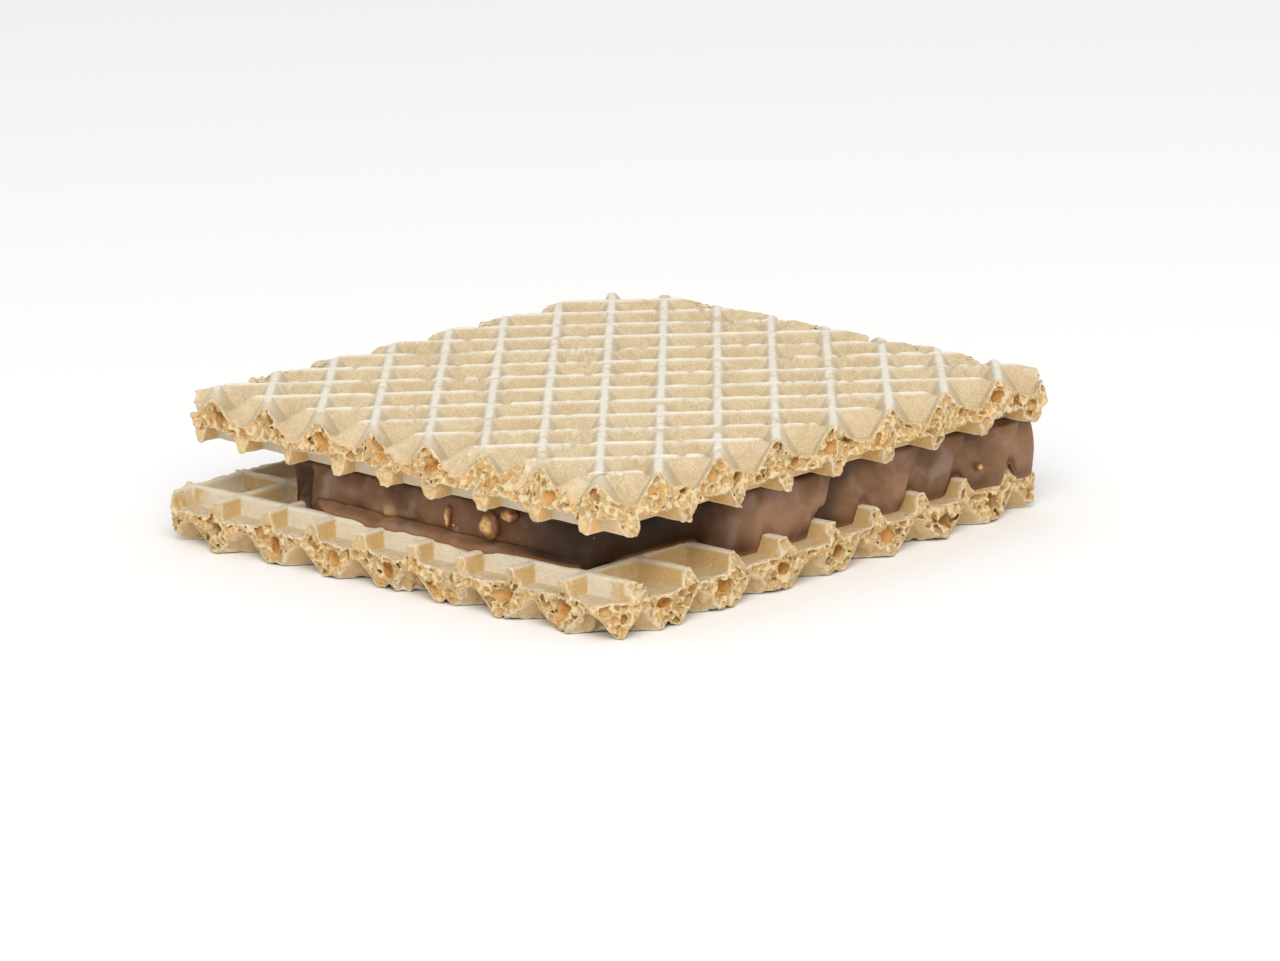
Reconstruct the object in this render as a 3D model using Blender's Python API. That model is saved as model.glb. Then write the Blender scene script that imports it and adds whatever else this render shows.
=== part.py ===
"""Square wafer sandwich biscuit: two crisp lattice wafers round a slab of chocolate with nut pieces.

Each wafer has deep pits in a diagonal lattice on its outer face and shallower pits in a
lattice parallel to its sides on its inner face. Its rim is broken and craggy. The filling
dips into the inner pits of both wafers, and chopped nuts stick out of its front faces.
Units are metres, +Z is up, and the biscuit lies flat with its sides along X and Y.
"""

import math

import bmesh
import bpy
import numpy as np

MM = 0.001

# Overall sizes
SIDE = 54.0 * MM
WAFER_THICKNESS = 4.6 * MM
FILLING_SPACE = 4.0 * MM
CLEARANCE = 0.3 * MM

# Lattice of the outer faces, along the diagonals of the square
OUTER_PITCH = 4.81 * MM
OUTER_RIDGE = 0.85 * MM
OUTER_FLOOR = 1.15 * MM
OUTER_DEPTH = 2.2 * MM
OUTER_TURN = math.radians(45)

# Lattice of the inner faces, parallel to the sides
INNER_PITCH = 6.0 * MM
INNER_RIDGE = 0.9 * MM
INNER_FLOOR = 2.7 * MM
INNER_DEPTH = 1.5 * MM

# Unevenness of the baked faces and of the broken rim
FACE_WEAR = 0.14 * MM
RIM_STEP = 2.25 * MM
RIM_ROWS = 3
RIM_JITTER = 0.34 * MM
RIM_BITE = 0.75 * MM
RIM_BITE_SHARE = 0.16
RIM_WAVE = 0.3 * MM
RIM_WAVES_ROUND = (3, 7)
BOTTOM_SEED = 5
TOP_SEED = 8

# How far the blocks that cut a shape reach past it, and the edges that are merged after a cut
CUTTER_REACH_SHARE = 0.78
CUTTER_BEYOND = 3.0 * MM
RIM_MARGIN = 0.4 * MM
MERGE_DISTANCE = 0.06 * MM

# Where the lattices cross, from the middle of each wafer
TOP_OUTER_PHASE = (-1.7 * MM, 0.2 * MM)
TOP_INNER_PHASE = (-0.75 * MM, -0.4 * MM)
BOTTOM_OUTER_PHASE = (0.0, 0.0)
BOTTOM_INNER_PHASE = (-1.6 * MM, -1.0 * MM)

# How the pieces lie on each other. The top wafer's place centres the whole box on the origin.
TOP_PLACE = (0.97 * MM, 0.76 * MM)
BOTTOM_TURN = math.radians(2.8)
BOTTOM_SHIFT = (-1.1 * MM, -1.1 * MM)
FILLING_MIN = (-18.9 * MM, -24.3 * MM)
FILLING_MAX = (24.6 * MM, 26.4 * MM)
FILLING_DIP = 1.1 * MM
FILLING_DIP_FLOOR = 3.2 * MM
FILLING_STEP = 3.0 * MM
FILLING_WAVE = 0.3 * MM
FILLING_FOOT = 0.5 * MM
FILLING_FOOT_SHARE = 0.45

# How far the slab's side stands out at each share of its height
FILLING_PROFILE = ((0.0, -0.1 * MM), (0.33, 0.0), (0.7, 0.25 * MM), (1.0, 0.0))

# Length cut from each side at a corner, in the order left, front, right, back
TOP_CORNERS = (2.0 * MM, 2.4 * MM, 2.4 * MM, 6.4 * MM)
BOTTOM_CORNERS = (1.6 * MM, 2.6 * MM, 1.2 * MM, 3.6 * MM)
FILLING_CORNERS = (3.4 * MM, 4.5 * MM, 1.6 * MM, 4.0 * MM)

# Nut pieces: place along the side, height, distance out of the face, size
NUTS_FRONT_LEFT = (
    (-2.7 * MM, 5.35 * MM, 0.15 * MM, (1.4 * MM, 1.0 * MM, 1.1 * MM)),
    (4.7 * MM, 6.65 * MM, 0.35 * MM, (0.7 * MM, 0.7 * MM, 1.2 * MM)),
    (10.1 * MM, 6.65 * MM, 0.55 * MM, (1.2 * MM, 1.1 * MM, 1.3 * MM)),
    (12.1 * MM, 7.25 * MM, 0.1 * MM, (1.0 * MM, 0.9 * MM, 0.7 * MM)),
)
NUTS_FRONT_RIGHT = (
    (18.9 * MM, 5.15 * MM, 0.35 * MM, (0.7 * MM, 0.8 * MM, 0.6 * MM)),
    (3.9 * MM, 6.85 * MM, -0.1 * MM, (0.9 * MM, 1.0 * MM, 0.8 * MM)),
)
NUT_LUMPS = (0.82, 1.08)
FRONT_RIGHT_NUT_SEED = 10

WAFER_COLOUR = (0.80, 0.62, 0.36)
WAFER_ROUGHNESS = 0.75
CHOCOLATE_COLOUR = (0.105, 0.052, 0.032)
CHOCOLATE_ROUGHNESS = 0.4


def clear_scene():
    """Remove every object that the file starts with."""
    for obj in list(bpy.data.objects):
        bpy.data.objects.remove(obj, do_unlink=True)


def make_material(name, colour, roughness):
    """A plain Principled material."""
    material = bpy.data.materials.new(name)
    material.use_nodes = True
    shader = material.node_tree.nodes["Principled BSDF"]
    shader.inputs["Base Color"].default_value = (*colour, 1.0)
    shader.inputs["Roughness"].default_value = roughness
    shader.inputs["Metallic"].default_value = 0.0
    return material


def new_object(name, bm):
    """Turn a bmesh into a linked object with outward faces."""
    bmesh.ops.triangulate(bm, faces=bm.faces[:])
    bmesh.ops.recalc_face_normals(bm, faces=bm.faces[:])
    mesh = bpy.data.meshes.new(name)
    bm.to_mesh(mesh)
    bm.free()
    obj = bpy.data.objects.new(name, mesh)
    bpy.context.scene.collection.objects.link(obj)
    return obj


def combine(obj, other, operation):
    """Apply a Boolean with another object, and remove that object."""
    modifier = obj.modifiers.new(operation.title(), "BOOLEAN")
    modifier.operation = operation
    modifier.object = other
    modifier.solver = "EXACT"
    graph = bpy.context.evaluated_depsgraph_get()
    graph.update()
    mesh = bpy.data.meshes.new_from_object(obj.evaluated_get(graph))
    obj.modifiers.clear()
    spent = obj.data
    obj.data = mesh
    bpy.data.meshes.remove(spent)
    bpy.data.objects.remove(other, do_unlink=True)


def tidy_mesh(obj):
    """Merge the tiny edges that a Boolean leaves along its seams, and drop loose scraps."""
    bm = bmesh.new()
    bm.from_mesh(obj.data)
    bmesh.ops.remove_doubles(bm, verts=bm.verts[:], dist=MERGE_DISTANCE)
    bmesh.ops.dissolve_degenerate(bm, edges=bm.edges[:], dist=MERGE_DISTANCE)
    bmesh.ops.triangulate(bm, faces=bm.faces[:])
    keep_largest_piece(bm)
    bm.to_mesh(obj.data)
    bm.free()


def keep_largest_piece(bm):
    """Delete every connected piece but the one with the most vertices."""
    unseen = set(bm.verts)
    pieces = []
    while unseen:
        stack = [unseen.pop()]
        piece = set(stack)
        while stack:
            vert = stack.pop()
            for edge in vert.link_edges:
                other = edge.other_vert(vert)
                if other in unseen:
                    unseen.discard(other)
                    piece.add(other)
                    stack.append(other)
        pieces.append(piece)
    pieces.sort(key=len)
    for piece in pieces[:-1]:
        bmesh.ops.delete(bm, geom=list(piece), context="VERTS")


def lattice_block(name, lattice, face_z, back_z, turn, wear=0.0, seed=0):
    """A closed block with a lattice of pits in its face at face_z and a flat back at back_z.

    Each pit is a truncated pyramid: an opening between four ridges, four sloping walls and a
    flat floor. A negative depth makes blunt studs between grooves, which fit such pits. The
    block reaches past the square on every side.
    """
    pitch, ridge, floor, depth, phase = lattice
    inward = math.copysign(1.0, back_z - face_z)
    reach = int(math.ceil(CUTTER_REACH_SHARE * SIDE / pitch)) + 1
    rng = np.random.default_rng(seed)
    slope = (pitch - ridge - floor) / 2
    cos_turn, sin_turn = math.cos(turn), math.sin(turn)
    bm = bmesh.new()
    verts = {}

    def vertex(i, a_offset, j, b_offset, sunk):
        """The vertex at an offset from lattice crossing i, j; sunk is 0 on a ridge, 1 on a floor."""
        key = (i, round(a_offset / MM, 3), j, round(b_offset / MM, 3))
        if key not in verts:
            a = i * pitch + a_offset
            b = j * pitch + b_offset
            x = phase[0] + a * cos_turn - b * sin_turn
            y = phase[1] + a * sin_turn + b * cos_turn
            worn = wear * rng.random() * (1.0 - sunk)
            verts[key] = bm.verts.new((x, y, face_z + inward * (depth * sunk + worn)))
        return verts[key]

    half = ridge / 2
    far = pitch - half
    for i in range(-reach, reach):
        for j in range(-reach, reach):
            rim = [vertex(i, half, j, half, 0), vertex(i + 1, -half, j, half, 0),
                   vertex(i + 1, -half, j + 1, -half, 0), vertex(i, half, j + 1, -half, 0)]
            low, high = half + slope, far - slope
            base = [vertex(i, low, j, low, 1), vertex(i, high, j, low, 1),
                    vertex(i, high, j, high, 1), vertex(i, low, j, high, 1)]
            bm.faces.new(base)
            for k in range(4):
                n = (k + 1) % 4
                bm.faces.new((rim[k], rim[n], base[n], base[k]))
    for i in range(-reach, reach + 1):
        for j in range(-reach, reach + 1):
            bm.faces.new([vertex(i, a, j, b, 0) for a, b in
                          ((-half, -half), (half, -half), (half, half), (-half, half))])
            if i < reach:
                bm.faces.new((vertex(i, half, j, -half, 0), vertex(i + 1, -half, j, -half, 0),
                              vertex(i + 1, -half, j, half, 0), vertex(i, half, j, half, 0)))
            if j < reach:
                bm.faces.new((vertex(i, -half, j, half, 0), vertex(i, half, j, half, 0),
                              vertex(i, half, j + 1, -half, 0), vertex(i, -half, j + 1, -half, 0)))
    close_back(bm, back_z)
    return new_object(name, bm)


def close_back(bm, back_z):
    """Carry the open border of a sheet to a flat back."""
    border = [edge for edge in bm.edges if edge.is_boundary]
    grown = bmesh.ops.extrude_edge_only(bm, edges=border)["geom"]
    for item in grown:
        if isinstance(item, bmesh.types.BMVert):
            item.co.z = back_z
    bmesh.ops.holes_fill(bm, edges=[edge for edge in bm.edges if edge.is_boundary], sides=0)


def cut_corner_outline(low, high, corners, step):
    """Points and outward normals round a rectangle whose corners are cut off, step apart."""
    left, front, right, back = corners
    path = [(low[0] + left, low[1]), (high[0] - front, low[1]),
            (high[0], low[1] + front), (high[0], high[1] - right),
            (high[0] - right, high[1]), (low[0] + back, high[1]),
            (low[0], high[1] - back), (low[0], low[1] + left)]
    points = []
    for k, start in enumerate(path):
        start = np.array(start)
        end = np.array(path[(k + 1) % len(path)])
        count = max(1, int(round(np.linalg.norm(end - start) / step)))
        points += [start + (end - start) * n / count for n in range(count)]
    points = np.array(points)
    along = np.roll(points, -1, axis=0) - np.roll(points, 1, axis=0)
    along /= np.linalg.norm(along, axis=1)[:, None]
    normals = np.stack([along[:, 1], -along[:, 0]], axis=1)
    return points, normals


def ring_solid(name, levels):
    """A closed solid from rings of points, one ring for each height, lowest first."""
    bm = bmesh.new()
    rings = [[bm.verts.new((x, y, z)) for x, y in ring] for z, ring in levels]
    count = len(rings[0])
    for lower, upper in zip(rings, rings[1:]):
        for k in range(count):
            n = (k + 1) % count
            bm.faces.new((lower[k], lower[n], upper[n], upper[k]))
    bm.faces.new(rings[0][::-1])
    bm.faces.new(rings[-1])
    return new_object(name, bm)


def craggy_prism(name, corners, seed):
    """The broken outline of a wafer: a square prism whose sides wave, jut and have bites."""
    rng = np.random.default_rng(seed)
    half = SIDE / 2
    points, normals = cut_corner_outline((-half, -half), (half, half), corners, RIM_STEP)
    count = len(points)
    turns = np.arange(count) / count * 2 * math.pi
    slow, quick = RIM_WAVES_ROUND
    wave = RIM_WAVE * (np.sin(slow * turns + seed) + np.sin(quick * turns + 2 * seed)) / 2
    levels = []
    for row in range(RIM_ROWS + 1):
        z = -RIM_MARGIN + (WAFER_THICKNESS + 2 * RIM_MARGIN) * row / RIM_ROWS
        out = wave + RIM_JITTER * rng.uniform(-1, 1, count)
        out -= RIM_BITE * rng.random(count) * (rng.random(count) < RIM_BITE_SHARE)
        levels.append((z, points + normals * out[:, None]))
    return ring_solid(name, levels)


def make_wafer(name, outer_phase, inner_phase, corners, face_up, wear, seed):
    """One wafer in its own frame, from z = 0 to its thickness, its outer face up or down."""
    outer = (OUTER_PITCH, OUTER_RIDGE, OUTER_FLOOR, OUTER_DEPTH, outer_phase)
    inner = (INNER_PITCH, INNER_RIDGE, INNER_FLOOR, INNER_DEPTH, inner_phase)
    low_face, high_face = 0.0, WAFER_THICKNESS
    outer_face, inner_face = (high_face, low_face) if face_up else (low_face, high_face)
    outer_back = -CUTTER_BEYOND if face_up else WAFER_THICKNESS + CUTTER_BEYOND
    inner_back = WAFER_THICKNESS + CUTTER_BEYOND if face_up else -CUTTER_BEYOND
    wafer = craggy_prism(name, corners, seed)
    combine(wafer, lattice_block(name + "_outer", outer, outer_face, outer_back,
                                 OUTER_TURN, wear, seed), "INTERSECT")
    combine(wafer, lattice_block(name + "_inner", inner, inner_face, inner_back,
                                 0.0, FACE_WEAR, seed + 1), "INTERSECT")
    tidy_mesh(wafer)
    return wafer


def filling_prism(name, low_z, high_z):
    """The outline of the chocolate slab, with wavy sides and a foot along the front left side."""
    points, normals = cut_corner_outline(FILLING_MIN, FILLING_MAX, FILLING_CORNERS, FILLING_STEP)
    swell = FILLING_WAVE * np.cos(2 * math.pi * (points[:, 0] + points[:, 1]) / INNER_PITCH)
    front_left = np.clip(-normals[:, 1], 0, 1)
    levels = []
    for share, bulge in FILLING_PROFILE:
        foot = FILLING_FOOT * front_left * max(0.0, 1.0 - share / FILLING_FOOT_SHARE)
        out = swell + bulge + foot
        levels.append((low_z + (high_z - low_z) * share, points + normals * out[:, None]))
    return ring_solid(name, levels)


def nut(name, place, size, seed):
    """A chopped nut piece: a low-sided lump, unevenly stretched."""
    rng = np.random.default_rng(seed)
    bm = bmesh.new()
    bmesh.ops.create_icosphere(bm, subdivisions=1, radius=1.0)
    for vert in bm.verts:
        lump = rng.uniform(*NUT_LUMPS)
        vert.co = [place[k] + vert.co[k] * size[k] * lump for k in range(3)]
    return new_object(name, bm)


def make_filling(name, bottom_z, top_z):
    """The chocolate slab, dipping into the pits of both wafers, with its nut pieces fused on.

    Its places are measured from the middle of the top wafer.
    """
    dip_lattice = (INNER_PITCH, INNER_RIDGE + 2 * CLEARANCE, FILLING_DIP_FLOOR, -FILLING_DIP)
    below = dip_lattice + (rotated(BOTTOM_INNER_PHASE, BOTTOM_TURN, BOTTOM_SHIFT),)
    above = dip_lattice + (TOP_INNER_PHASE,)
    face_low, face_high = bottom_z + CLEARANCE, top_z - CLEARANCE
    filling = filling_prism(name, face_low - FILLING_DIP - CLEARANCE, face_high + FILLING_DIP + CLEARANCE)
    combine(filling, lattice_block(name + "_below", below, face_low, top_z + CUTTER_BEYOND,
                                   BOTTOM_TURN), "INTERSECT")
    combine(filling, lattice_block(name + "_above", above, face_high, bottom_z - CUTTER_BEYOND,
                                   0.0), "INTERSECT")
    for k, (along, height, out, size) in enumerate(NUTS_FRONT_LEFT):
        place = (along, FILLING_MIN[1] - out, height)
        combine(filling, nut(f"nut_left_{k}", place, size, k), "UNION")
    for k, (along, height, out, size) in enumerate(NUTS_FRONT_RIGHT):
        place = (FILLING_MAX[0] + out, along, height)
        combine(filling, nut(f"nut_right_{k}", place, size, FRONT_RIGHT_NUT_SEED + k), "UNION")
    tidy_mesh(filling)
    return filling


def rotated(point, turn, shift):
    """A point turned about the origin, then shifted."""
    return (point[0] * math.cos(turn) - point[1] * math.sin(turn) + shift[0],
            point[0] * math.sin(turn) + point[1] * math.cos(turn) + shift[1])


def build():
    """Make the three pieces and lay them on each other."""
    clear_scene()
    wafer_material = make_material("baked_wafer", WAFER_COLOUR, WAFER_ROUGHNESS)
    chocolate = make_material("chocolate_filling", CHOCOLATE_COLOUR, CHOCOLATE_ROUGHNESS)

    bottom = make_wafer("wafer_bottom", BOTTOM_OUTER_PHASE, BOTTOM_INNER_PHASE, BOTTOM_CORNERS,
                        face_up=False, wear=0.0, seed=BOTTOM_SEED)
    bottom.location = (TOP_PLACE[0] + BOTTOM_SHIFT[0], TOP_PLACE[1] + BOTTOM_SHIFT[1], 0.0)
    bottom.rotation_euler = (0.0, 0.0, BOTTOM_TURN)

    top_z = WAFER_THICKNESS + FILLING_SPACE
    filling = make_filling("filling", WAFER_THICKNESS, top_z)
    filling.location = (*TOP_PLACE, 0.0)

    top = make_wafer("wafer_top", TOP_OUTER_PHASE, TOP_INNER_PHASE, TOP_CORNERS,
                     face_up=True, wear=FACE_WEAR, seed=TOP_SEED)
    top.location = (*TOP_PLACE, top_z)

    for obj, material in ((bottom, wafer_material), (filling, chocolate), (top, wafer_material)):
        obj.data.materials.clear()
        obj.data.materials.append(material)


build()
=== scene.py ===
"""Looks of a square wafer sandwich biscuit: two crisp lattice wafers round a slab of chocolate.

Each wafer is one numpy sheet for its outer face, one for its inner face, and four pieces of
broken, bubbly rim, which are the skin of a field of solid values on a fine grid. The chocolate is a
profile carried round its outline. Lengths in this file are millimetres unless a name says
metres, and a mesh gets metres when it is made.
"""

from __future__ import annotations

import logging
import math
from dataclasses import dataclass, field
from enum import Enum

import bpy
import numpy as np
from mathutils import Matrix, Vector


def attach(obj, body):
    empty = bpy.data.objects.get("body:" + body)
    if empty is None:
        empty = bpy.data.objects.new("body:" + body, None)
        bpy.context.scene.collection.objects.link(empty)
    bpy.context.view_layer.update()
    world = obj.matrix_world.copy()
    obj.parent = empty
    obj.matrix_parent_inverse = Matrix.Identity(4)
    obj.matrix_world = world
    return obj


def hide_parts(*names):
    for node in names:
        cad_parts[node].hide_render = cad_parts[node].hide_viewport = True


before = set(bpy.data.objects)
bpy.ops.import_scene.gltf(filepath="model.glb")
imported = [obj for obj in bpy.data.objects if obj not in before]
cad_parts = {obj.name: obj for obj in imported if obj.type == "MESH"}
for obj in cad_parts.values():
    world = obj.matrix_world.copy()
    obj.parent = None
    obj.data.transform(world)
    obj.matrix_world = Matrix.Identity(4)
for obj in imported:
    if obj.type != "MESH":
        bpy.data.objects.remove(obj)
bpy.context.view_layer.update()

LOG = logging.getLogger("wafer_biscuit")
METRES = 0.001
Colour = tuple[float, float, float]

# Sizes that the solids share
SIDE = 54.0
THICKNESS = 4.6
FILLING_SPACE = 4.0
TOP_MIDDLE = (0.97, 0.76)
BOTTOM_MIDDLE = (-0.13, -0.34)
BOTTOM_TURN = math.radians(2.8)


def ease(low: float, high: float, value: np.ndarray) -> np.ndarray:
    """A smooth step from 0 at low to 1 at high: 3t^2 - 2t^3 of the share of the way.

    Args:
        low: Value at which the step starts.
        high: Value at which it ends.
        value: Values to step.

    Returns:
        The steps, from 0 to 1.
    """
    t = np.clip((value - low) / (high - low), 0.0, 1.0)
    return t * t * (3.0 - 2.0 * t)


def soft_min(a: np.ndarray, b: np.ndarray, blend: float) -> np.ndarray:
    """The lower of two values, with a round corner where they meet.

    It is min(a, b) less (blend - |a - b|)^2 / (4 blend) wherever they are closer than blend.

    Args:
        a: First values.
        b: Second values.
        blend: Width of the round corner.

    Returns:
        The smooth minimum.
    """
    near = np.maximum(blend - np.abs(a - b), 0.0)
    return np.minimum(a, b) - near * near / (4.0 * blend)


@dataclass(frozen=True)
class Grain:
    """Smooth random values in space, blended from a table of random numbers that repeats."""

    seed: int
    cell: float
    size: int = 32

    def at(self, x: np.ndarray, y: np.ndarray, z: np.ndarray | float) -> np.ndarray:
        """The eased blend of the eight table values round each point.

        Args:
            x: First coordinates.
            y: Second coordinates.
            z: Third coordinates.

        Returns:
            Values from -1 to 1.
        """
        table = np.random.default_rng(self.seed).uniform(-1, 1, (self.size,) * 3).astype(np.float32)
        places = [np.asarray(c, np.float32) / self.cell for c in (x, y, z)]
        base = [np.floor(p) for p in places]
        shares = [(p - b) for p, b in zip(places, base)]
        shares = [t * t * (3.0 - 2.0 * t) for t in shares]
        first = [b.astype(np.int32) % self.size for b in base]
        second = [(i + 1) % self.size for i in first]
        total = 0.0
        for corner in range(8):
            take = [corner >> axis & 1 for axis in range(3)]
            index = tuple(second[a] if take[a] else first[a] for a in range(3))
            weight = 1.0
            for axis in range(3):
                weight = weight * (shares[axis] if take[axis] else 1.0 - shares[axis])
            total = total + weight * table[index]
        return total


class Assembly:
    """Pieces that stand for one solid, with smooth noise of their own."""

    seed: int
    node: str
    pieces: list[bpy.types.Object]

    def grain(self, salt: int, cell: float, x: np.ndarray, y: np.ndarray,
              z: np.ndarray | float = 0.0) -> np.ndarray:
        """Noise at places, whose spots are as large as a cell.

        Args:
            salt: Number that sets this noise apart from the other ones.
            cell: Size of the spots.
            x: First coordinates.
            y: Second coordinates.
            z: Third coordinates.

        Returns:
            Values from -1 to 1.
        """
        return Grain(self.seed + salt, cell).at(x, y, z)

    def dress(self, material: bpy.types.Material, slot: str) -> None:
        """Give every piece its material and body, and let it stand for the solid."""
        for piece in self.pieces:
            settle(piece, material, self.node)


@dataclass(frozen=True)
class Bubbles:
    """Round cells of uneven size with thin walls between them, as in baked foam."""

    seed: int
    cell: float
    wall: float
    uneven: float = 0.28
    size: int = 16

    def inside(self, x: np.ndarray, y: np.ndarray, z: np.ndarray) -> np.ndarray:
        """How deep each point lies inside a bubble, below 0 in a wall.

        Each cell of a grid holds one centre at a random place, with a random head start. The
        depth is half of the next nearest distance less the nearest one, less half a wall.

        Args:
            x: First coordinates.
            y: Second coordinates.
            z: Third coordinates.

        Returns:
            Depths inside the bubbles.
        """
        rng = np.random.default_rng(self.seed)
        offsets = rng.uniform(0.08, 0.92, (self.size,) * 3 + (3,)).astype(np.float32)
        starts = rng.uniform(0.0, self.uneven, (self.size,) * 3).astype(np.float32)
        places = np.broadcast_arrays(*[np.asarray(c, np.float32) / self.cell for c in (x, y, z)])
        base = [np.floor(p).astype(np.int32) for p in places]
        nearest = np.full(places[0].shape, 9.0, np.float32)
        second = nearest.copy()
        for step in np.ndindex(3, 3, 3):
            cell = [b + (s - 1) for b, s in zip(base, step)]
            index = tuple(c % self.size for c in cell)
            away = [cell[a] + offsets[index + (a,)] - places[a] for a in range(3)]
            gap = np.sqrt(away[0] ** 2 + away[1] ** 2 + away[2] ** 2) - starts[index]
            second = np.minimum(second, np.maximum(nearest, gap))
            nearest = np.minimum(nearest, gap)
        return (second - nearest) * (self.cell / 2.0) - self.wall / 2.0


def make_mesh(name: str, verts: np.ndarray, faces: list[np.ndarray],
              finish: np.ndarray | None = None) -> bpy.types.Object:
    """An object at the origin from arrays of vertices and faces.

    Args:
        name: Name of the piece.
        verts: Places of the vertices in millimetres, one row each.
        faces: Arrays of faces, each with rows of one length.
        finish: Four values from 0 to 1 for each vertex, kept in the attribute "finish".

    Returns:
        The linked object.
    """
    mesh = bpy.data.meshes.new(name)
    corners = np.concatenate([f.ravel() for f in faces]).astype(np.int32)
    sizes = np.concatenate([np.full(len(f), f.shape[1]) for f in faces])
    starts = np.concatenate([[0], np.cumsum(sizes)[:-1]]).astype(np.int32)
    mesh.vertices.add(len(verts))
    mesh.vertices.foreach_set("co", (verts * METRES).astype(np.float32).ravel())
    mesh.loops.add(len(corners))
    mesh.loops.foreach_set("vertex_index", corners)
    mesh.polygons.add(len(starts))
    mesh.polygons.foreach_set("loop_start", starts)
    mesh.update(calc_edges=True)
    if finish is not None:
        layer = mesh.attributes.new("finish", "FLOAT_COLOR", "POINT")
        layer.data.foreach_set("color", np.clip(finish, 0, 1).astype(np.float32).ravel())
    mesh.validate()
    mesh.shade_smooth()
    piece = bpy.data.objects.new(name, mesh)
    bpy.context.scene.collection.objects.link(piece)
    return piece


def grid_faces(rows: int, columns: int, wrap: bool) -> np.ndarray:
    """Quads between the points of a grid that is numbered row by row.

    Args:
        rows: Number of rows of points.
        columns: Number of points in each row.
        wrap: Whether the last column joins the first.

    Returns:
        One row of four vertex numbers for each quad, counterclockwise where the second
        parameter runs right and the first one up.
    """
    right = np.arange(columns if wrap else columns - 1)
    row = np.arange(rows - 1)[:, None]
    after = (right + 1) % columns
    corners = [row * columns + right, row * columns + after,
               (row + 1) * columns + after, (row + 1) * columns + right]
    return np.stack([c.ravel() for c in np.broadcast_arrays(*corners)], 1)


def closed_rings(rows: int, columns: int) -> list[np.ndarray]:
    """Faces of a closed surface of rings, with a hub at each end.

    Args:
        rows: Number of rings, from the lowest up.
        columns: Number of points in each ring. The two hubs are numbered after all of them.

    Returns:
        The quads between the rings, and the fans of both ends.
    """
    ring = np.arange(columns)
    after = (ring + 1) % columns
    count = rows * columns
    last = count - columns
    low = np.stack([after, ring, np.full(columns, count)], 1)
    high = np.stack([last + ring, last + after, np.full(columns, count + 1)], 1)
    return [grid_faces(rows, columns, wrap=True), low, high]


def closed_slab(verts: np.ndarray, quads: np.ndarray, back_z: float) -> tuple[np.ndarray, list]:
    """Close a sheet with a skirt from its border to a flat fan at back_z.

    A border edge is one that only one quad uses. Each gets a quad down to back_z and a
    triangle from there to the middle.

    Args:
        verts: Vertices of the sheet.
        quads: Its quads, which face away from back_z.
        back_z: Third coordinate of the flat back.

    Returns:
        All vertices, and the list of face arrays.
    """
    starts = quads.ravel()
    ends = np.roll(quads, -1, axis=1).ravel()
    count = len(verts)
    keys = np.minimum(starts, ends).astype(np.int64) * count + np.maximum(starts, ends)
    _, where, uses = np.unique(keys, return_index=True, return_counts=True)
    border = where[uses == 1]
    first, last = starts[border], ends[border]
    ring = np.unique(np.concatenate([first, last]))
    lower_of = np.zeros(count, np.int64)
    lower_of[ring] = count + np.arange(len(ring))
    lower = verts[ring].copy()
    lower[:, 2] = back_z
    middle = np.array([[verts[:, 0].mean(), verts[:, 1].mean(), back_z]])
    hub = np.full(len(first), count + len(ring))
    skirt = np.stack([last, first, lower_of[first], lower_of[last]], 1)
    fan = np.stack([lower_of[first], hub, lower_of[last]], 1)
    return np.concatenate([verts, lower, middle]), [quads, skirt, fan]


def drop_unused(verts: np.ndarray, faces: np.ndarray) -> tuple[np.ndarray, np.ndarray]:
    """Keep only the vertices that a face uses.

    Args:
        verts: All vertices.
        faces: Faces that stay.

    Returns:
        The kept vertices and the renumbered faces.
    """
    used, numbered = np.unique(faces, return_inverse=True)
    return verts[used], numbered.reshape(faces.shape)


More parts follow.
